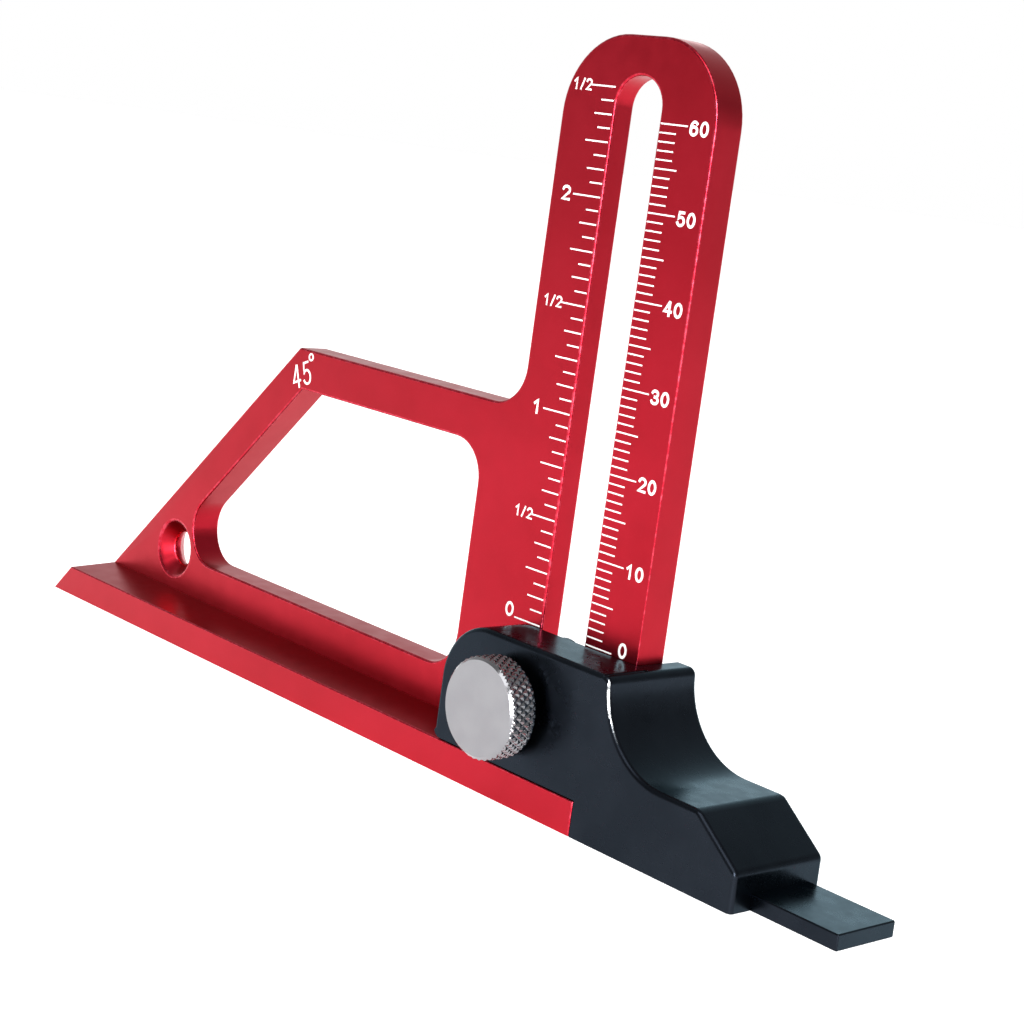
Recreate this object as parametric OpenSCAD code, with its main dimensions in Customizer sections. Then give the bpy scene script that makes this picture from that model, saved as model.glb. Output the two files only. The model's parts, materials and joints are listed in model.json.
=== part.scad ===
/* [Body] */
// length from the left tip of the base to the right edge of the upright
body_l = 113.2; // [100:0.2:130]
// thickness of the plate
plate_t = 4.4; // [3:0.1:6]
// width of the upright
upright_w = 24.5; // [20:0.5:32]
// height of the upright's top above the base
total_h = 88.9; // [75:0.1:100]
// corner radius at the top of the upright
top_r = 9.5; // [4:0.5:11]
// height of the arm's top edge above the base
arm_h = 44; // [38:0.5:50]
// how far the base flange stands out in front of the plate
flange_d = 7.15; // [5:0.05:12]
// height of the base flange at its front edge
flange_h = 4.05; // [3:0.05:6]
// how much the flange's top rises from its front edge to the plate
flange_rise = 0.6; // [0:0.1:1.2]
// radius of the corners of the window and of the arm
corner_r = 5; // [2:0.5:6]

/* [Window] */
// height of the window's lower edge
win_z0 = 9.85; // [8:0.05:14]
// height of the window's upper edge
win_z1 = 38.5; // [34:0.1:40]
// distance from the window's right edge to the middle of the slot
win_gap = 18.2; // [16:0.1:24]
// width of the rim along the 45 degree edge
rim_w = 5; // [4:0.1:8]

/* [Slot] */
// width of the slot
slot_w = 7.3; // [6:0.1:9]
// depth of the narrow part of the slot
slot_d = 3.08; // [2:0.02:3.6]
// height of the middle of the slot's upper end
slot_z1 = 80.7; // [70:0.1:82]
// height of the middle of the slot's lower end
slot_z0 = 11.2; // [10:0.1:14]
// width of the groove at the back that guides the clamp nut
groove_w = 12; // [10:0.5:14]

/* [Hang hole] */
// distance of the hole from the middle of the slot
hole_x = 81; // [80.4:0.1:84]
// height of the hole
hole_z = 10.4; // [9:0.1:14]
// diameter of the hole
hole_d = 4.6; // [4:0.1:5]
// diameter of the 90 degree countersinks
sink_d = 8.2; // [6:0.1:8.3]

/* [Slider] */
// height of the zero mark and of the slider's top edge
slider_h = 19.1; // [17:0.1:24]
// distance from the slot's middle to the block's right face
block_x = 36.5; // [30:0.1:42]
// depth of the slider from front to back
block_d = 14.3; // [12:0.1:18]
// height where the right face turns into the slope
nose_z = 4.4; // [3:0.1:7]
// height of the shoulder
shoulder_z = 9.15; // [7:0.05:12]
// radius of the hollow between shoulder and top
hollow_r = 9.6; // [6:0.1:11]
// radius of the upper left corner of the front wall
wall_r = 7.3; // [2:0.1:9]
// length of the measuring foot
foot_l = 11.4; // [6:0.1:20]
// width of the measuring foot
foot_w = 9.4; // [6:0.1:13]
// thickness of the measuring foot
foot_t = 1.75; // [1:0.05:3]
// how far the guide key reaches into the slot
key_d = 1.2; // [0.6:0.1:2.5]

/* [Thumb screw] */
// diameter of the knob
knob_d = 11.9; // [9:0.1:16]
// thickness of the knob
knob_t = 3.9; // [3:0.1:8]
// diameter of the collar behind the knob
collar_d = 6.4; // [5:0.1:8]
// diameter of the screw
screw_d = 3.94; // [2.9:0.02:5]
// height of the screw above the base
screw_z = 11.5; // [11:0.1:14]
// thickness of the clamp nut
nut_t = 2.6; // [2:0.1:3.5]
// height of the clamp nut
nut_h = 6.4; // [5.6:0.1:8]
// corner radius of the clamp nut
nut_r = 2.2; // [0.5:0.1:3]

/* [Hidden] */
$fn = 96;
slot_x = 26.5;
y0 = 2.4;
plate_x1 = slot_x + upright_w / 2;
left_x = plate_x1 - body_l;
win_x1 = slot_x - win_gap;
win_left = left_x + rim_w * sqrt(2);
front_y = y0 - flange_d;
gap = 0.15;
eps = 0.02;
fit_gap = 0.15;
tan_a = tan(22.5);
wall_x0 = plate_x1 - upright_w + 0.15;
wall_z0 = flange_h + fit_gap - eps;
block_x0 = plate_x1 + fit_gap;
block_x1 = slot_x + block_x;
top_x = block_x0 + 2.75;
hollow_x = top_x + hollow_r;
hollow_z = shoulder_z + hollow_r;
edge_x = hollow_x - sqrt(pow(hollow_r, 2) - pow(slider_h - 1 - hollow_z, 2));
slope_x = block_x1 - 6.3;
foot_y = y0 + 0.8;
key_w = slot_w - 0.3;
key_top = slider_h - 0.25;
bore_r = screw_d / 2 + 0.08;
knob_y = front_y - 0.9;
stud_back = y0 + plate_t + 2.5;
nut_w = groove_w - 0.6;
nut_y = y0 + slot_d + gap;

// pushes an outline drawn in x and z through the depth from ya to yb
module through(ya, yb) {
  translate([0, yb, 0])
    rotate([90, 0, 0])
      linear_extrude(height = yb - ya)
        children();
}

// a round bar along y, with radius ra in front and rb behind
module along_y(x, z, ya, yb, ra, rb) {
  translate([x, ya, z])
    rotate([-90, 0, 0])
      cylinder(h = yb - ya, r1 = ra, r2 = rb);
}

// the piece to cut away so that the corner at the origin, between +x and +y, gets radius r
module square_corner(r) {
  difference() {
    translate([-1, -1])
      square(r + 1);
    translate([r, r])
      circle(r = r);
  }
}

// slot shaped outline between two heights
module stadium(x, za, zb, w) {
  translate([x, za])
    circle(d = w);
  translate([x, zb])
    circle(d = w);
  translate([x - w / 2, za])
    square([w, zb - za]);
}

module window_outline() {
  low = win_left + win_z0;
  high = win_left + win_z1;
  r = corner_r;
  low_t = r / tan_a;
  // the sharp shape without its two right corners and its lower left tip
  polygon([
    [low + low_t, win_z0],
    [win_x1 - r, win_z0],
    [win_x1, win_z0 + r],
    [win_x1, win_z1 - r],
    [win_x1 - r, win_z1],
    [high, win_z1],
    [low + low_t * cos(45), win_z0 + low_t * sin(45)]
  ]);
  translate([win_x1 - r, win_z0 + r])
    circle(r = r);
  translate([win_x1 - r, win_z1 - r])
    circle(r = r);
  translate([low + low_t, win_z0 + r])
    circle(r = r);
}

module upright_outline() {
  x0 = plate_x1 - upright_w;
  translate([x0, 0])
    square([upright_w, total_h - top_r]);
  translate([x0 + top_r, 0])
    square([upright_w - 2 * top_r, total_h]);
  translate([x0 + top_r, total_h - top_r])
    circle(r = top_r);
  translate([plate_x1 - top_r, total_h - top_r])
    circle(r = top_r);
}

module arm_fillet() {
  translate([plate_x1 - upright_w, arm_h])
    difference() {
      translate([-corner_r, -1])
        square([corner_r + 1, corner_r + 1]);
      translate([-corner_r, corner_r])
        circle(r = corner_r);
    }
}

module base_outline(top) {
  polygon([
    [left_x, 0],
    [plate_x1, 0],
    [plate_x1, top],
    [left_x + top, top]
  ]);
}

// a bar along x from xa to xb under the flange's sloping top, which is lifted by lift
module under_slope(xa, xb, ya, yb, lift) {
  za = flange_h + flange_rise * (ya - front_y) / flange_d + lift;
  zb = flange_h + flange_rise * (yb - front_y) / flange_d + lift;
  translate([xa, 0, 0])
    rotate([90, 0, 90])
      linear_extrude(height = xb - xa)
        polygon([[ya, 0], [yb, 0], [yb, zb], [ya, za]]);
}

module flange() {
  intersection() {
    under_slope(left_x, plate_x1, front_y, y0 + 1, 0);
    through(front_y - 1, y0 + 2)
      base_outline(arm_h);
  }
}

module gauge_body() {
  color("firebrick")
    difference() {
      union() {
        through(y0, y0 + plate_t) {
          base_outline(arm_h);
          upright_outline();
          arm_fillet();
        }
        flange();
      }
      through(front_y - 1, y0 + plate_t + 1)
        window_outline();
      through(front_y - 1, y0 + plate_t + 1)
        stadium(slot_x, slot_z0, slot_z1, slot_w);
      through(y0 + slot_d, y0 + plate_t + 1)
        stadium(slot_x, slot_z0, slot_z1, groove_w);
      hang_hole();
    }
}

module hang_hole() {
  x = slot_x - hole_x;
  ra = sink_d / 2;
  rb = hole_d / 2;
  cone = ra - rb;
  along_y(x, hole_z, y0 - 4, y0 + plate_t + 1, rb, rb);
  along_y(x, hole_z, y0 - eps, y0 + cone, ra, rb);
  along_y(x, hole_z, y0 + plate_t - cone, y0 + plate_t + eps, rb, ra);
}

module wall_outline() {
  difference() {
    translate([wall_x0, wall_z0])
      square([block_x0 + 2 - wall_x0, slider_h - wall_z0]);
    translate([wall_x0, slider_h])
      mirror([0, 1])
        square_corner(wall_r);
    translate([wall_x0, wall_z0])
      square_corner(1.2);
  }
}

module block_outline() {
  difference() {
    polygon([
      [block_x0, 0],
      [block_x1, 0],
      [block_x1, nose_z],
      [slope_x, shoulder_z],
      [hollow_x, shoulder_z],
      [hollow_x, slider_h],
      [block_x0, slider_h]
    ]);
    translate([hollow_x, hollow_z])
      circle(r = hollow_r);
    translate([edge_x, slider_h])
      rotate(180)
        square_corner(1);
  }
}

module slider_block() {
  color("dimgray")
    difference() {
      union() {
        through(front_y, y0 - gap)
          wall_outline();
        through(front_y, front_y + block_d)
          block_outline();
        translate([block_x1 - 1, foot_y - foot_w / 2, 0])
          cube([foot_l + 1, foot_w, foot_t]);
        through(y0 - gap - eps, y0 + key_d)
          stadium(slot_x, screw_z + 0.2, key_top - key_w / 2, key_w);
      }
      along_y(slot_x, screw_z, front_y - 1, y0 + key_d + 1, bore_r, bore_r);
      // the wall's underside follows the flange's top
      under_slope(wall_x0 - 1, block_x0, front_y - 1, y0 + 1, fit_gap);
    }
}

module knob() {
  r = knob_d / 2;
  e = 0.45;
  front = knob_y - knob_t;
  color("silver")
    translate([slot_x, front, screw_z])
      rotate([-90, 0, 0])
        rotate_extrude()
          polygon([
            [0, 0],
            [r - e, 0],
            [r, e],
            [r, knob_t - e],
            [r - e, knob_t],
            [collar_d / 2, knob_t],
            [collar_d / 2, knob_t + 0.75],
            [screw_d / 2 - eps, knob_t + 0.75],
            [screw_d / 2 - eps, 1.2],
            [0, 1.2]
          ]);
}

module stud() {
  r = screw_d / 2;
  front = knob_y - knob_t + 1.25;
  color("gray")
    translate([slot_x, front, screw_z])
      rotate([-90, 0, 0])
        rotate_extrude()
          polygon([
            [0, 0],
            [r, 0],
            [r, stud_back - front - 0.5],
            [r - 0.5, stud_back - front],
            [0, stud_back - front]
          ]);
}

module nut_outline() {
  translate([slot_x, screw_z])
    difference() {
      square([nut_w, nut_h], center = true);
      for (side = [0, 1])
        for (end = [0, 1])
          mirror([side, 0])
            mirror([0, end])
              translate([-nut_w / 2, -nut_h / 2])
                square_corner(nut_r);
    }
}

module clamp_nut() {
  color("darkgray")
    difference() {
      through(nut_y, nut_y + nut_t)
        nut_outline();
      along_y(slot_x, screw_z, nut_y - 1, nut_y + nut_t + 1, bore_r, bore_r);
    }
}

gauge_body();
slider_block();
knob();
stud();
clamp_nut();
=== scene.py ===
import json
import math

import bmesh
import bpy
from mathutils import Matrix, Quaternion, Vector

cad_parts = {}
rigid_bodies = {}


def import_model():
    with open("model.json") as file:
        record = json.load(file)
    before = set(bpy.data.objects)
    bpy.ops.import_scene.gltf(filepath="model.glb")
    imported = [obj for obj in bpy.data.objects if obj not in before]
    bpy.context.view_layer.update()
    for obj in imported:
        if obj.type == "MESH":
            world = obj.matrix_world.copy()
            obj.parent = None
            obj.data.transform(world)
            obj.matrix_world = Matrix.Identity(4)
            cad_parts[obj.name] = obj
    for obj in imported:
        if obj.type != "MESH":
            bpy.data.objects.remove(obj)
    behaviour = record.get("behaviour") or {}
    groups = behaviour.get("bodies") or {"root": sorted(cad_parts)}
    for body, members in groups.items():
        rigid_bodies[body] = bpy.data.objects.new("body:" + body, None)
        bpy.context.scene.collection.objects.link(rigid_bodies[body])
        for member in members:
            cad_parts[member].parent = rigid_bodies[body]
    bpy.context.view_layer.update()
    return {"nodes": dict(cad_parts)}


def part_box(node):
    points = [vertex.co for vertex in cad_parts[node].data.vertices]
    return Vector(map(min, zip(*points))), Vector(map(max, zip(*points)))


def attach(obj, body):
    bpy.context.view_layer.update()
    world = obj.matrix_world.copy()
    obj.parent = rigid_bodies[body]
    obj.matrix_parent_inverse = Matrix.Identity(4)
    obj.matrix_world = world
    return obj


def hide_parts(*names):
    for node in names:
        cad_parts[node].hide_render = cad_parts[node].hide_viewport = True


# ---------------------------------------------------------------- frame and sizes, in metres

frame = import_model()
MM = 0.001
STARTUP_OBJECTS = ("Cube", "Light", "Camera")

body_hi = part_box("gauge_body")[1]
slider_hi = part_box("slider_block")[1]
knob_lo, knob_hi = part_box("knob")
stud_lo, stud_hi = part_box("stud")

PLATE_T = 4.4 * MM
SLOT_W = 7.3 * MM
PLATE_Y = body_hi.y - PLATE_T
SLOT_X = (knob_lo.x + knob_hi.x) / 2
SCREW_Z = (knob_lo.z + knob_hi.z) / 2
ZERO_Z = slider_hi.z + 0.2 * MM
INCH = 25.4 * MM
WELD = 0.001 * MM
FLAT = math.radians(0.8)
TOUCH = 0.05 * MM
NEAR = 0.3 * MM

# ---------------------------------------------------------------- marks on the plate

MARK_T = 0.02 * MM
MARK_Y = PLATE_Y - MARK_T / 2
EDGE_GAP = 0.3 * MM
MM_TICK = {1: 2.5 * MM, 5: 3.4 * MM, 10: 4.15 * MM}
MM_LINE = 0.17 * MM
MM_LABEL_X = SLOT_X + 9.85 * MM
MM_ZERO_X = MM_LABEL_X - 0.1 * MM
INCH_TICK = {1: 2.0 * MM, 2: 2.8 * MM, 4: 3.7 * MM, 8: 4.05 * MM, 16: 4.5 * MM}
INCH_LINE = 0.18 * MM
INCH_LABELS = ["1/2", "1", "1/2", "2", "1/2"]
INCH_ZERO_OFF = 5.5 * MM
INCH_WHOLE_OFF = 5.65 * MM
INCH_HALF_OFF = 5.4 * MM
FIGURE_H = 1.8 * MM
MM_FIGURE_H = 1.75 * MM
HALF_H = 1.4 * MM
HALF_LINE = 0.23 * MM
HALF_WIDE = 1.3
FIGURE_LINE = 0.32 * MM
FIGURE_WIDE = 1.35
INCH_WIDE = 1.5
FIGURE_GAP = 0.30
ARC_STEPS = 24
CORNER_LIMIT = 0.6
LAYER_STEP = 0.2
ANGLE_X = SLOT_X - 55.85 * MM
ANGLE_Z = 40.4 * MM
ANGLE_TILT = 22.5
ANGLE_H = 3.2 * MM
ANGLE_LINE = 0.3 * MM
ANGLE_WIDE = 0.98
DEGREE_RIGHT = 1.65 * MM
DEGREE_UP = 2.7 * MM
DEGREE_H = 1.95 * MM
DEGREE_LINE = 0.25 * MM

# ---------------------------------------------------------------- body and slider

FOOT_L = 11.4 * MM
FLANGE_TOP = 5.0 * MM
FLANGE_ROUND = 0.2 * MM
PLATE_ROUND = 0.3 * MM
SLIDER_ROUND = 0.6 * MM
FOOT_ROUND = 0.18 * MM
NUT_ROUND = 0.2 * MM
# Heights between which the painted highlight on the slider's hollow edge fades in.
HIGHLIGHT_Z = (12.2 * MM, 15.0 * MM)
SHARP = math.radians(30)
CREASE = math.radians(40)
NORMAL_WEIGHT = 100
HOLLOW_FACING = 0.55
HOLLOW_END = 10 * MM

# ---------------------------------------------------------------- thumb screw

KNOB_T = 3.9 * MM
KNOB_CHAMFER = 0.45 * MM
COLLAR_R = 3.2 * MM
BORE_R = 1.95 * MM
BORE_DEPTH = 1.2 * MM
KNURL_STARTS = 40
KNURL_DEPTH = 0.22 * MM
KNURL_PITCH = 1.3 * MM
KNURL_ROWS = 39
KNURL_STEPS = 8
RIDGE_WIDTH = 1.3
THREAD_PITCH = 0.7 * MM
THREAD_DEPTH = 0.42 * MM
THREAD_ROWS_PER_TURN = 10
THREAD_STEPS = 32
THREAD_CREST = 1.15
STUD_CHAMFER = 0.5 * MM

# ---------------------------------------------------------------- camera and light

CAM_TARGET = Vector((12.73, 2.4, 43.5)) * MM
CAM_DISTANCE = 247.1 * MM
CAM_AZIMUTH = 46.88
CAM_ELEVATION = 7.2
CAM_ROLL = 7.81
CAM_LENS = 72.42
CAM_SHIFT_Y = -0.1
FLOOR_R = 12.0
ROOM_BACK = 1.0
ROOM_SIDE = 0.5
ROOM_FRONT = 0.45
ROOM_HEIGHTS = ((0.24, 1.0), (0.31, 0.68), (0.7, 0.45))
ROOM_EDGE = 0.8
OVERHEAD = 0.3
OVERHEAD_ANGLE = math.radians(120)
FLOOR_GLOW = 0.75
FLOOR_DROP = 0.05 * MM
# name, azimuth and elevation in degrees, distance, width and height in metres, power in watts
SOFTBOXES = (
    ("key", 20, 55, 1.0, 0.6, 0.6, 3.0),
    ("glint", 46, 14, 1.1, 0.3, 0.7, 16.0),
    ("backdrop", -146, 20, 1.1, 0.32, 0.2, 0.28),
)


def direction(azimuth, elevation):
    """Unit vector from the object towards a viewer; azimuth 0 is in front, at -Y."""
    a, e = math.radians(azimuth), math.radians(elevation)
    return Vector((math.sin(a) * math.cos(e), -math.cos(a) * math.cos(e), math.sin(e)))


# ---------------------------------------------------------------- material helpers


class Nodes:
    """A material's node tree with short calls for the nodes that every finish here uses."""

    def __init__(self, name):
        self.material = bpy.data.materials.new(name)
        self.material.use_nodes = True
        self.tree = self.material.node_tree
        self.shader = self.tree.nodes["Principled BSDF"]
        self.place = self.tree.nodes.new("ShaderNodeTexCoord").outputs["Object"]

    def link(self, a, b):
        self.tree.links.new(a, b)

    def noise(self, scale, detail=2.0, stretch=(1, 1, 1)):
        """Noise with features of about 1/scale metres, longer along an axis where stretch is small."""
        mapping = self.tree.nodes.new("ShaderNodeMapping")
        mapping.inputs["Scale"].default_value = stretch
        texture = self.tree.nodes.new("ShaderNodeTexNoise")
        texture.inputs["Scale"].default_value = scale
        texture.inputs["Detail"].default_value = detail
        self.link(self.place, mapping.inputs["Vector"])
        self.link(mapping.outputs["Vector"], texture.inputs["Vector"])
        return texture.outputs["Fac"]

    def height(self):
        """The height above the object's origin, in metres."""
        node = self.tree.nodes.new("ShaderNodeSeparateXYZ")
        self.link(self.place, node.inputs[0])
        return node.outputs["Z"]

    def times(self, a, b):
        node = self.tree.nodes.new("ShaderNodeMath")
        node.operation = "MULTIPLY"
        self.link(a, node.inputs[0])
        self.link(b, node.inputs[1])
        return node.outputs[0]

    def spread(self, value, low, high, lo=0.35, hi=0.65):
        """Maps lo..hi of a value onto low..high."""
        node = self.tree.nodes.new("ShaderNodeMapRange")
        node.inputs["From Min"].default_value = lo
        node.inputs["From Max"].default_value = hi
        node.inputs["To Min"].default_value = low
        node.inputs["To Max"].default_value = high
        self.link(value, node.inputs["Value"])
        return node.outputs["Result"]

    def mix(self, factor, a, b):
        """Mixes two colours, each given as numbers or as an output of a node."""
        node = self.tree.nodes.new("ShaderNodeMix")
        node.data_type = "RGBA"
        self.link(factor, node.inputs["Factor"])
        for socket, colour in ((node.inputs[6], a), (node.inputs[7], b)):
            if isinstance(colour, tuple):
                socket.default_value = (*colour, 1)
            else:
                self.link(colour, socket)
        return node.outputs[2]

    def bump(self, height, depth, strength=0.5, under=None):
        """Bump of the given depth in metres, laid over another bump where one is given."""
        node = self.tree.nodes.new("ShaderNodeBump")
        node.inputs["Distance"].default_value = depth
        node.inputs["Strength"].default_value = strength
        self.link(height, node.inputs["Height"])
        if under is not None:
            self.link(under, node.inputs["Normal"])
        return node.outputs["Normal"]

    def finish(self, colour, roughness, normal, **fixed):
        self.link(colour, self.shader.inputs["Base Color"])
        self.link(roughness, self.shader.inputs["Roughness"])
        self.link(normal, self.shader.inputs["Normal"])
        for name, value in fixed.items():
            self.shader.inputs[name.replace("_", " ")].default_value = value
        return self.material


def red_anodised():
    """Satin red anodised aluminium: soft colour clouds, a blasted grain and faint handling marks."""
    n = Nodes("red_anodised")
    clouds = n.spread(n.noise(70, 3), 0, 1)
    colour = n.mix(clouds, (0.375, 0.0115, 0.022), (0.42, 0.014, 0.027))
    specks = n.spread(n.noise(5200, 2), 0, 0.25, 0.62, 0.75)
    colour = n.mix(specks, colour, (0.48, 0.025, 0.042))
    roughness = n.spread(n.noise(420, 4), 0.28, 0.35)
    grain = n.bump(n.noise(9000, 2), 0.002 * MM, 0.3)
    normal = n.bump(n.noise(900, 3), 0.002 * MM, 0.2, grain)
    return n.finish(colour, roughness, normal, Metallic=1.0)


def red_edge():
    """The same anodising on the broken edges, brighter in patches: partly polished by handling, partly
    a painted highlight for the glints along the edges.
    """
    n = Nodes("red_anodised_edge_and_highlight")
    wear_and_highlight = n.spread(n.noise(1500, 4), 0, 1, 0.45, 0.62)
    # The brighter colour is partly wear and partly painted highlight.
    colour = n.mix(wear_and_highlight, (0.46, 0.017, 0.034), (0.58, 0.05, 0.08))
    roughness = n.spread(n.noise(2600, 3), 0.20, 0.30)
    normal = n.bump(n.noise(5000, 3), 0.004 * MM, 0.3)
    return n.finish(colour, roughness, normal, Metallic=1.0)


def black_anodised():
    """Satin black anodised aluminium with a cold sheen and fine dust."""
    n = Nodes("black_anodised")
    clouds = n.spread(n.noise(110, 3), 0, 1)
    colour = n.mix(clouds, (0.013, 0.016, 0.022), (0.0175, 0.0215, 0.029))
    dust = n.spread(n.noise(3800, 2), 0, 0.2, 0.70, 0.80)
    colour = n.mix(dust, colour, (0.04, 0.046, 0.055))
    roughness = n.spread(n.noise(500, 4), 0.25, 0.32)
    grain = n.bump(n.noise(8000, 2), 0.0015 * MM, 0.3)
    normal = n.bump(n.noise(700, 3), 0.002 * MM, 0.15, grain)
    return n.finish(colour, roughness, normal, Metallic=1.0, Specular_Tint=(0.75, 0.92, 1, 1))


def rubbed_edge():
    """Painted highlight on the edge of the slider's hollow: bright bare-metal colour in broken
    patches, none low down and full higher up, where the edge catches a glint.
    """
    n = Nodes("rubbed_edge")
    patches = n.spread(n.noise(1500, 5), 0.15, 1, 0.38, 0.58)
    # Painted highlight: bright metal in patches, none below the lower height and full above the upper.
    wear_and_highlight = n.times(patches, n.spread(n.height(), 0, 1, *HIGHLIGHT_Z))
    colour = n.mix(wear_and_highlight, (0.012, 0.015, 0.02), (0.75, 0.78, 0.8))
    roughness = n.spread(n.noise(2400, 3), 0.25, 0.4)
    normal = n.bump(n.noise(5000, 3), 0.004 * MM, 0.4)
    return n.finish(colour, roughness, normal, Metallic=1.0)


def nickel():
    """Satin nickel plate with soft colour clouds and a fine even grain."""
    n = Nodes("nickel_plate")
    clouds = n.spread(n.noise(300, 3), 0, 1)
    colour = n.mix(clouds, (0.275, 0.275, 0.29), (0.295, 0.295, 0.31))
    roughness = n.spread(n.noise(900, 4), 0.13, 0.20)
    normal = n.bump(n.noise(7000, 3), 0.001 * MM, 0.3)
    return n.finish(colour, roughness, normal, Metallic=1.0)


def steel():
    """Turned steel with soft colour clouds and fine lines round the axis."""
    n = Nodes("turned_steel")
    clouds = n.spread(n.noise(500, 4), 0, 1)
    colour = n.mix(clouds, (0.36, 0.36, 0.37), (0.47, 0.47, 0.48))
    roughness = n.spread(n.noise(1200, 4), 0.26, 0.42)
    normal = n.bump(n.noise(4000, 3, (1, 6, 1)), 0.006 * MM, 0.5)
    return n.finish(colour, roughness, normal, Metallic=1.0)


def mark_white():
    """White filling of the engraved marks, slightly uneven."""
    n = Nodes("mark_white")
    clouds = n.spread(n.noise(2500, 3), 0, 1)
    colour = n.mix(clouds, (0.86, 0.80, 0.80), (0.95, 0.92, 0.92))
    roughness = n.spread(n.noise(3000, 3), 0.45, 0.65)
    normal = n.bump(n.noise(8000, 2), 0.004 * MM, 0.4)
    return n.finish(colour, roughness, normal, Specular_IOR_Level=0.4)


def floor_white():
    """Matt white that glows a little, so that the floor is as bright as the room."""
    n = Nodes("floor_white")
    clouds = n.spread(n.noise(2, 3), 0, 1)
    colour = n.mix(clouds, (0.92, 0.92, 0.92), (0.94, 0.94, 0.94))
    roughness = n.spread(n.noise(30, 3), 0.65, 0.8)
    normal = n.bump(n.noise(400, 2), 0.02 * MM, 0.1)
    glow = {"Emission_Color": (1, 1, 1, 1), "Emission_Strength": FLOOR_GLOW}
    return n.finish(colour, roughness, normal, Specular_IOR_Level=0.1, **glow)


# ---------------------------------------------------------------- piece helpers


def piece(name, mesh_bm, material, body):
    """Makes a mesh object of a bmesh, with its material and the CAD body that it rides on."""
    mesh = bpy.data.meshes.new(name)
    bmesh.ops.recalc_face_normals(mesh_bm, faces=mesh_bm.faces)
    mesh_bm.to_mesh(mesh)
    mesh_bm.free()
    mesh.materials.append(material)
    obj = bpy.data.objects.new(name, mesh)
    bpy.context.scene.collection.objects.link(obj)
    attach(obj, body)
    return obj


def dress(node, metal, width):
    """Gives a CAD node its metal and breaks its edges, leaving its mesh as it is."""
    obj = frame["nodes"][node]
    obj.data.materials.clear()
    obj.data.materials.append(metal)
    obj.data.shade_smooth()
    weld = obj.modifiers.new("weld", "WELD")
    weld.merge_threshold = WELD
    flat = obj.modifiers.new("flat_faces", "DECIMATE")
    flat.decimate_type = "DISSOLVE"
    flat.angle_limit = FLAT
    bevel = obj.modifiers.new("broken_edges", "BEVEL")
    bevel.width = width
    bevel.segments = 3
    bevel.limit_method = "ANGLE"
    bevel.angle_limit = SHARP
    bevel.use_clamp_overlap = False
    bevel.loop_slide = False
    normals = obj.modifiers.new("normals", "WEIGHTED_NORMAL")
    normals.weight = NORMAL_WEIGHT


def add_bar(bm, x0, x1, z, width):
    """A thin bar on the plate's front face from x0 to x1, centred on height z."""
    place = Matrix.Translation(((x0 + x1) / 2, MARK_Y, z))
    size = Matrix.Diagonal((x1 - x0, MARK_T, width, 1))
    bmesh.ops.create_cube(bm, size=1, matrix=place @ size)


def arc(centre_x, centre_z, radius_x, radius_z, start, end):
    """Points on an ellipse from one angle to another, in degrees from +x towards +z."""
    angles = [math.radians(start + (end - start) * i / ARC_STEPS) for i in range(ARC_STEPS + 1)]
    return [(centre_x + radius_x * math.cos(a), centre_z + radius_z * math.sin(a)) for a in angles]


def strokes(figure):
    """Width and centre lines of a figure that is 1 high, in a plain upright hand."""
    return {
        "0": (0.50, [arc(0.25, 0.5, 0.25, 0.5, 0, 360)]),
        "1": (0.50, [[(0.08, 0.74), (0.30, 1), (0.30, 0)]]),
        "2": (0.50, [arc(0.25, 0.72, 0.25, 0.28, 165, -38) + [(0, 0), (0.50, 0)]]),
        "3": (0.50, [arc(0.24, 0.76, 0.22, 0.24, 158, -90), arc(0.25, 0.26, 0.25, 0.26, 90, -158)]),
        "4": (0.52, [[(0.38, 0), (0.38, 1)], [(0.34, 1), (0, 0.28), (0.52, 0.28)]]),
        "5": (0.50, [[(0.43, 1), (0.10, 1), (0.05, 0.53)] + arc(0.24, 0.32, 0.26, 0.32, 125, -155)]),
        "6": (0.50, [arc(0.25, 0.31, 0.25, 0.31, 0, 360), arc(0.27, 0.5, 0.27, 0.5, 200, 48)]),
        "/": (0.30, [[(0, 0), (0.30, 1)]]),
        "o": (0.50, [arc(0.25, 0.5, 0.25, 0.25, 0, 360)]),
    }[figure]


def add_stroke(bm, path, half, place):
    """A ribbon along a path, half of its width to each side; place takes it onto the plate."""
    points = [Vector(p) for p in path]
    closed = (points[0] - points[-1]).length < half / 10
    if closed:
        points.pop()
    else:
        points[0] += (points[0] - points[1]).normalized() * half
        points[-1] += (points[-1] - points[-2]).normalized() * half
    rows = []
    for i, point in enumerate(points):
        before = point - points[i - 1]
        after = points[(i + 1) % len(points)] - point
        if not closed and i == 0:
            before = after
        if not closed and i == len(points) - 1:
            after = before
        before.normalize()
        along = (before + after.normalized()).normalized()
        side = Vector((-along.y, along.x))
        reach = half / max(CORNER_LIMIT, before.dot(along))
        row = []
        for corner in (point + side * reach, point - side * reach):
            for depth in (-0.5, 0.5):
                row.append(bm.verts.new(place @ Vector((corner.x, corner.y, depth))))
        rows.append(row)
    pairs = list(zip(rows, rows[1:]))
    if closed:
        pairs.append((rows[-1], rows[0]))
    else:
        for low_a, high_a, low_b, high_b in (rows[0], rows[-1]):
            bm.faces.new((low_a, high_a, high_b, low_b))
    for near, far in pairs:
        for i, j in ((0, 1), (1, 3), (3, 2), (2, 0)):
            bm.faces.new((near[i], near[j], far[j], far[i]))


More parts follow.
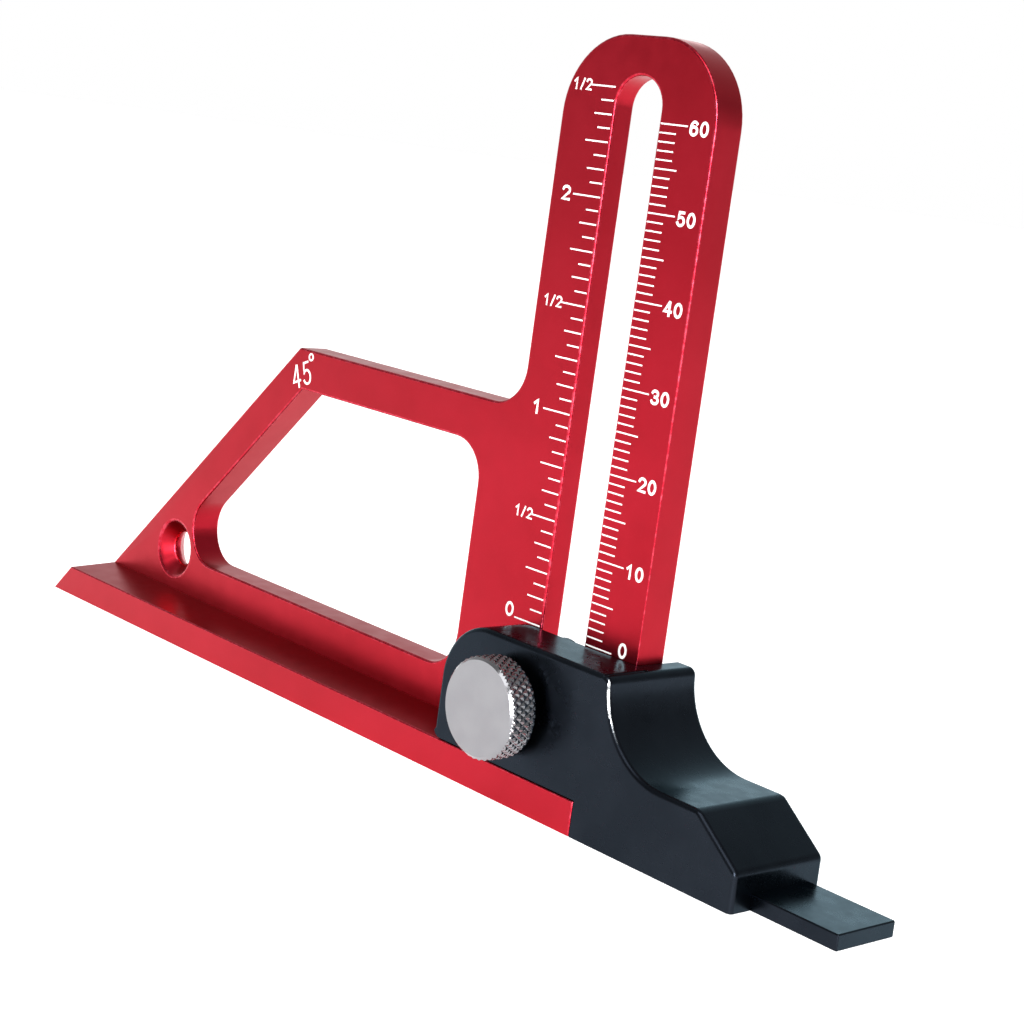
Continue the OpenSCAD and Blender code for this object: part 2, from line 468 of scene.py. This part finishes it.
def add_figures(bm, text, centre_x, centre_z, height, line, wide=1.0, tilt=0.0):
    """Figures of a given height and line on the plate's front face; wide stretches them sideways."""
    scale = height - line
    half = line / 2 / scale
    glyphs = [strokes(figure) for figure in text]
    total = sum(width for width, paths in glyphs) + FIGURE_GAP * (len(glyphs) - 1)
    turn = Matrix.Rotation(math.radians(90), 4, "X") @ Matrix.Rotation(math.radians(tilt), 4, "Z")
    size = Matrix.Diagonal((scale, scale, MARK_T, 1))
    place = Matrix.Translation((centre_x, MARK_Y, centre_z)) @ turn @ size
    left = -total / 2
    for width, paths in glyphs:
        for layer, path in enumerate(paths):
            proud = Matrix.Diagonal((1, 1, 1 + LAYER_STEP * layer, 1))
            add_stroke(bm, [((left + x) * wide, z - 0.5) for x, z in path], half, place @ proud)
        left += width + FIGURE_GAP


def step_of(k, steps):
    """The longest step that a tick belongs to."""
    return max(s for s in steps if k % s == 0)


def add_lathe(bm, rows, steps):
    """A closed surface round the screw's axis; a row is (y, radius as a function of the angle)."""
    rings = []
    for y, radius in rows:
        ring = []
        for i in range(steps):
            a = 2 * math.pi * i / steps
            r = radius(a)
            ring.append(bm.verts.new((SLOT_X + r * math.cos(a), y, SCREW_Z + r * math.sin(a))))
        rings.append(ring)
    for near, far in zip(rings, rings[1:]):
        for i in range(steps):
            j = (i + 1) % steps
            bm.faces.new((near[i], near[j], far[j], far[i]))
    bm.faces.new(rings[0])
    bm.faces.new(rings[-1])


def wave(turns):
    """0 at whole turns, 1 half way between them."""
    return 1 - abs(2 * (turns % 1) - 1)


def round_row(y, r):
    return y, lambda a: r


# ---------------------------------------------------------------- pieces


def mm_scale(white):
    ticks = bmesh.new()
    figures = bmesh.new()
    edge = SLOT_X + SLOT_W / 2 + EDGE_GAP
    for k in range(61):
        length = MM_TICK[step_of(k, MM_TICK)]
        add_bar(ticks, edge, edge + length, ZERO_Z + k * MM, MM_LINE)
    zero_z = ZERO_Z + 0.8 * MM
    add_figures(figures, "0", MM_ZERO_X, zero_z, FIGURE_H, FIGURE_LINE, FIGURE_WIDE)
    for k in range(10, 61, 10):
        z = ZERO_Z + (k - 0.15) * MM
        add_figures(figures, str(k), MM_LABEL_X, z, MM_FIGURE_H, FIGURE_LINE, FIGURE_WIDE)
    piece("mm_ticks", ticks, white, "gauge")
    piece("mm_figures", figures, white, "gauge")


def inch_scale(white):
    ticks = bmesh.new()
    figures = bmesh.new()
    edge = SLOT_X - SLOT_W / 2 - EDGE_GAP
    for k in range(41):
        length = INCH_TICK[step_of(k, INCH_TICK)]
        add_bar(ticks, edge - length, edge, ZERO_Z + k * INCH / 16, INCH_LINE)
    zero_z = ZERO_Z + 0.75 * MM
    add_figures(figures, "0", edge - INCH_ZERO_OFF, zero_z, FIGURE_H, FIGURE_LINE, INCH_WIDE)
    for i, label in enumerate(INCH_LABELS):
        z = ZERO_Z + (i + 1) * INCH / 2
        if "/" in label:
            add_figures(figures, label, edge - INCH_HALF_OFF, z, HALF_H, HALF_LINE, HALF_WIDE)
        else:
            add_figures(figures, label, edge - INCH_WHOLE_OFF, z, FIGURE_H, FIGURE_LINE, INCH_WIDE)
    piece("inch_ticks", ticks, white, "gauge")
    piece("inch_figures", figures, white, "gauge")


def angle_mark(white):
    """The figure for the 45 degree edge, near the arm's upper left corner."""
    bm = bmesh.new()
    ring_x = ANGLE_X + DEGREE_RIGHT
    ring_z = ANGLE_Z + DEGREE_UP
    add_figures(bm, "45", ANGLE_X, ANGLE_Z, ANGLE_H, ANGLE_LINE, ANGLE_WIDE, ANGLE_TILT)
    add_figures(bm, "o", ring_x, ring_z, DEGREE_H, DEGREE_LINE, 1.0, ANGLE_TILT)
    piece("angle_mark", bm, white, "gauge")


def round_edges(bm, wanted, radius, segments):
    """Rounds the sharp outward edges whose middle passes the wanted test; new faces get material 1."""
    edges = []
    for edge in bm.edges:
        middle = (edge.verts[0].co + edge.verts[1].co) / 2
        if edge.is_manifold and edge.is_convex and edge.calc_face_angle() > SHARP and wanted(middle):
            edges.append(edge)
    bmesh.ops.bevel(
        bm, geom=edges, offset=radius, offset_type="OFFSET", segments=segments, profile=0.5,
        affect="EDGES", clamp_overlap=False, loop_slide=False, material=1,
    )


def node_copy(node):
    """A bmesh of a CAD node with its flat faces whole again, ready for its edges to be rounded."""
    bm = bmesh.new()
    bm.from_mesh(frame["nodes"][node].data)
    bmesh.ops.remove_doubles(bm, verts=bm.verts, dist=WELD)
    bmesh.ops.dissolve_limit(bm, angle_limit=FLAT, verts=bm.verts, edges=bm.edges)
    return bm


def finished_node(node, name, bm, surface, edge_surface, body):
    """Replaces a CAD node with its rounded copy; what is still a corner is shaded as one."""
    for edge in bm.edges:
        edge.smooth = not edge.is_manifold or edge.calc_face_angle() < CREASE
    obj = piece(name, bm, surface, body)
    obj.data.materials.append(edge_surface)
    obj.data.shade_smooth()
    normals = obj.modifiers.new("normals", "WEIGHTED_NORMAL")
    normals.weight = NORMAL_WEIGHT
    normals.keep_sharp = True
    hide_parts(node)


def finished_body(surface, edge_surface):
    """The gauge's body with its outward edges broken; the corner above the flange stays sharp."""
    bm = node_copy("gauge_body")
    # Rounded faces take material 1, the edge colour that is partly a painted highlight.
    round_edges(bm, lambda middle: TOUCH < middle.z < FLANGE_TOP, FLANGE_ROUND, 3)
    round_edges(bm, lambda middle: middle.z >= FLANGE_TOP, PLATE_ROUND, 4)
    finished_node("gauge_body", "body", bm, surface, edge_surface, "gauge")


def finished_slider(surface, highlight_surface):
    """The slider with rounded edges; its key, bore, underside and faces on the body stay sharp."""
    bm = node_copy("slider_block")
    block_end = slider_hi.x - FOOT_L

    def on_block(middle):
        behind_or_under = middle.y > PLATE_Y - NEAR or middle.z < FLANGE_TOP
        by_body = middle.x < body_hi.x + NEAR and behind_or_under
        in_bore = math.hypot(middle.x - SLOT_X, middle.z - SCREW_Z) < BORE_R + NEAR
        return not (by_body or in_bore or middle.z < TOUCH or middle.x > block_end + TOUCH)

    def on_foot(middle):
        return middle.z > TOUCH and middle.x > block_end + TOUCH

    round_edges(bm, on_block, SLIDER_ROUND, 6)
    round_edges(bm, on_foot, FOOT_ROUND, 3)
    bm.normal_update()
    # Only the rounded strips on the hollow's front edge that face the front right, clear of the slope,
    # keep material 1, the painted highlight; the other rounded faces take the black.
    for face in bm.faces:
        on_hollow_edge = face.normal.x > HOLLOW_FACING and face.normal.y < -HOLLOW_FACING
        left_of_slope = face.calc_center_median().x < block_end - HOLLOW_END
        face.material_index = int(face.material_index == 1 and on_hollow_edge and left_of_slope)
    finished_node("slider_block", "slider", bm, surface, highlight_surface, "slider")


def knurled_knob(metal):
    """The knob: a flat face, a knurled rim with chamfers, a collar and a blind bore for the stud."""
    front = knob_lo.y
    full_r = (knob_hi.x - knob_lo.x) / 2
    bm = bmesh.new()

    def rim_row(y):
        chamfer = max(0, KNOB_CHAMFER - y, y - KNOB_T + KNOB_CHAMFER)

        def radius(a):
            turns = KNURL_STARTS * a / (2 * math.pi)
            ridge = min(wave(turns + y / KNURL_PITCH), wave(turns - y / KNURL_PITCH))
            cut = KNURL_DEPTH * (1 - min(1, RIDGE_WIDTH * ridge))
            return full_r - max(chamfer, cut)

        return front + y, radius

    rows = [round_row(front, 0.01 * MM), round_row(front, full_r - 1.1 * KNOB_CHAMFER)]
    rows += [rim_row(KNOB_T * i / KNURL_ROWS) for i in range(KNURL_ROWS + 1)]
    rows += [
        round_row(front + KNOB_T, COLLAR_R),
        round_row(knob_hi.y, COLLAR_R),
        round_row(knob_hi.y, BORE_R),
        round_row(front + BORE_DEPTH, BORE_R),
    ]
    add_lathe(bm, rows, KNURL_STARTS * KNURL_STEPS)
    knob = piece("knurled_knob", bm, metal, "thumb_screw")
    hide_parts("knob")


def threaded_stud(metal):
    """The stud with its thread cut as a helix and a chamfered end."""
    full_r = (stud_hi.x - stud_lo.x) / 2
    length = stud_hi.y - stud_lo.y
    count = int(length / THREAD_PITCH * THREAD_ROWS_PER_TURN)
    bm = bmesh.new()

    def thread_row(y):
        chamfer = max(0, y - length + STUD_CHAMFER)

        def radius(a):
            ridge = wave(y / THREAD_PITCH + a / (2 * math.pi))
            cut = THREAD_DEPTH * (1 - min(1, THREAD_CREST * ridge))
            return full_r - max(chamfer, cut)

        return stud_lo.y + y, radius

    rows = [thread_row(length * i / count) for i in range(count + 1)]
    add_lathe(bm, rows, THREAD_STEPS)
    stud = piece("threaded_stud", bm, metal, "thumb_screw")
    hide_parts("stud")


# ---------------------------------------------------------------- surroundings


def floor():
    bm = bmesh.new()
    bmesh.ops.create_circle(bm, cap_ends=True, segments=96, radius=FLOOR_R)
    mesh = bpy.data.meshes.new("floor")
    bm.to_mesh(mesh)
    bm.free()
    mesh.materials.append(floor_white())
    obj = bpy.data.objects.new("floor", mesh)
    obj.location = (0, 0, -FLOOR_DROP)
    bpy.context.scene.collection.objects.link(obj)


def softbox(name, azimuth, elevation, distance, width, height, power):
    light = bpy.data.lights.new(name, "AREA")
    light.shape = "RECTANGLE"
    light.size = width
    light.size_y = height
    light.energy = power
    obj = bpy.data.objects.new(name, light)
    towards = direction(azimuth, elevation)
    obj.location = CAM_TARGET + towards * distance
    obj.rotation_mode = "QUATERNION"
    obj.rotation_quaternion = towards.to_track_quat("Z", "Y")
    obj.visible_camera = False
    bpy.context.scene.collection.objects.link(obj)


def room():
    """A white room, darker towards the viewer's side and above a band of backdrop."""
    world = bpy.data.worlds.new("room")
    world.use_nodes = True
    tree = world.node_tree
    background = tree.nodes["Background"]
    place = tree.nodes.new("ShaderNodeTexCoord")
    facing = tree.nodes.new("ShaderNodeVectorMath")
    facing.operation = "DOT_PRODUCT"
    facing.inputs[1].default_value = direction(CAM_AZIMUTH, 0)
    shade = tree.nodes.new("ShaderNodeValToRGB")
    shade.color_ramp.elements[0].position = 0.0
    shade.color_ramp.elements[0].color = (ROOM_BACK, ROOM_BACK, ROOM_BACK, 1)
    shade.color_ramp.elements[1].position = 1.0
    shade.color_ramp.elements[1].color = (ROOM_FRONT, ROOM_FRONT, ROOM_FRONT, 1)
    side = shade.color_ramp.elements.new(0.5)
    side.color = (ROOM_SIDE, ROOM_SIDE, ROOM_SIDE, 1)
    spread = tree.nodes.new("ShaderNodeMapRange")
    spread.inputs["From Min"].default_value = -ROOM_EDGE
    spread.inputs["From Max"].default_value = ROOM_EDGE
    height = tree.nodes.new("ShaderNodeSeparateXYZ")
    above = tree.nodes.new("ShaderNodeValToRGB")
    above.color_ramp.elements.new(0.5)
    for stop, (place_z, level) in zip(above.color_ramp.elements, ROOM_HEIGHTS):
        stop.position = place_z
        stop.color = (level, level, level, 1)
    tree.links.new(place.outputs["Generated"], height.inputs[0])
    tree.links.new(height.outputs["Z"], above.inputs["Fac"])
    tree.links.new(above.outputs["Color"], background.inputs["Strength"])
    tree.links.new(place.outputs["Generated"], facing.inputs[0])
    tree.links.new(facing.outputs["Value"], spread.inputs["Value"])
    tree.links.new(spread.outputs["Result"], shade.inputs["Fac"])
    tree.links.new(shade.outputs["Color"], background.inputs["Color"])
    bpy.context.scene.world = world


def overhead():
    """Soft, even light from above."""
    light = bpy.data.lights.new("overhead", "SUN")
    light.energy = OVERHEAD
    light.angle = OVERHEAD_ANGLE
    obj = bpy.data.objects.new("overhead", light)
    bpy.context.scene.collection.objects.link(obj)


def camera():
    data = bpy.data.cameras.new("camera")
    data.lens = CAM_LENS
    data.sensor_width = 36
    data.shift_y = CAM_SHIFT_Y
    data.clip_start = 0.01
    data.clip_end = 50
    obj = bpy.data.objects.new("camera", data)
    towards = direction(CAM_AZIMUTH, CAM_ELEVATION)
    obj.location = CAM_TARGET + towards * CAM_DISTANCE
    obj.rotation_mode = "QUATERNION"
    roll = Quaternion((0, 0, 1), math.radians(CAM_ROLL))
    obj.rotation_quaternion = (-towards).to_track_quat("-Z", "Y") @ roll
    bpy.context.scene.collection.objects.link(obj)
    bpy.context.scene.camera = obj


# ---------------------------------------------------------------- the scene

bpy.context.scene.view_settings.view_transform = "Standard"
for old in [o for o in bpy.data.objects if o.name in STARTUP_OBJECTS]:
    bpy.data.objects.remove(old)

white = mark_white()
turned = steel()
finished_body(red_anodised(), red_edge())
finished_slider(black_anodised(), rubbed_edge())
dress("clamp_nut", turned, NUT_ROUND)
mm_scale(white)
inch_scale(white)
angle_mark(white)
knurled_knob(nickel())
threaded_stud(turned)
floor()
room()
overhead()
for box in SOFTBOXES:
    softbox(*box)
camera()
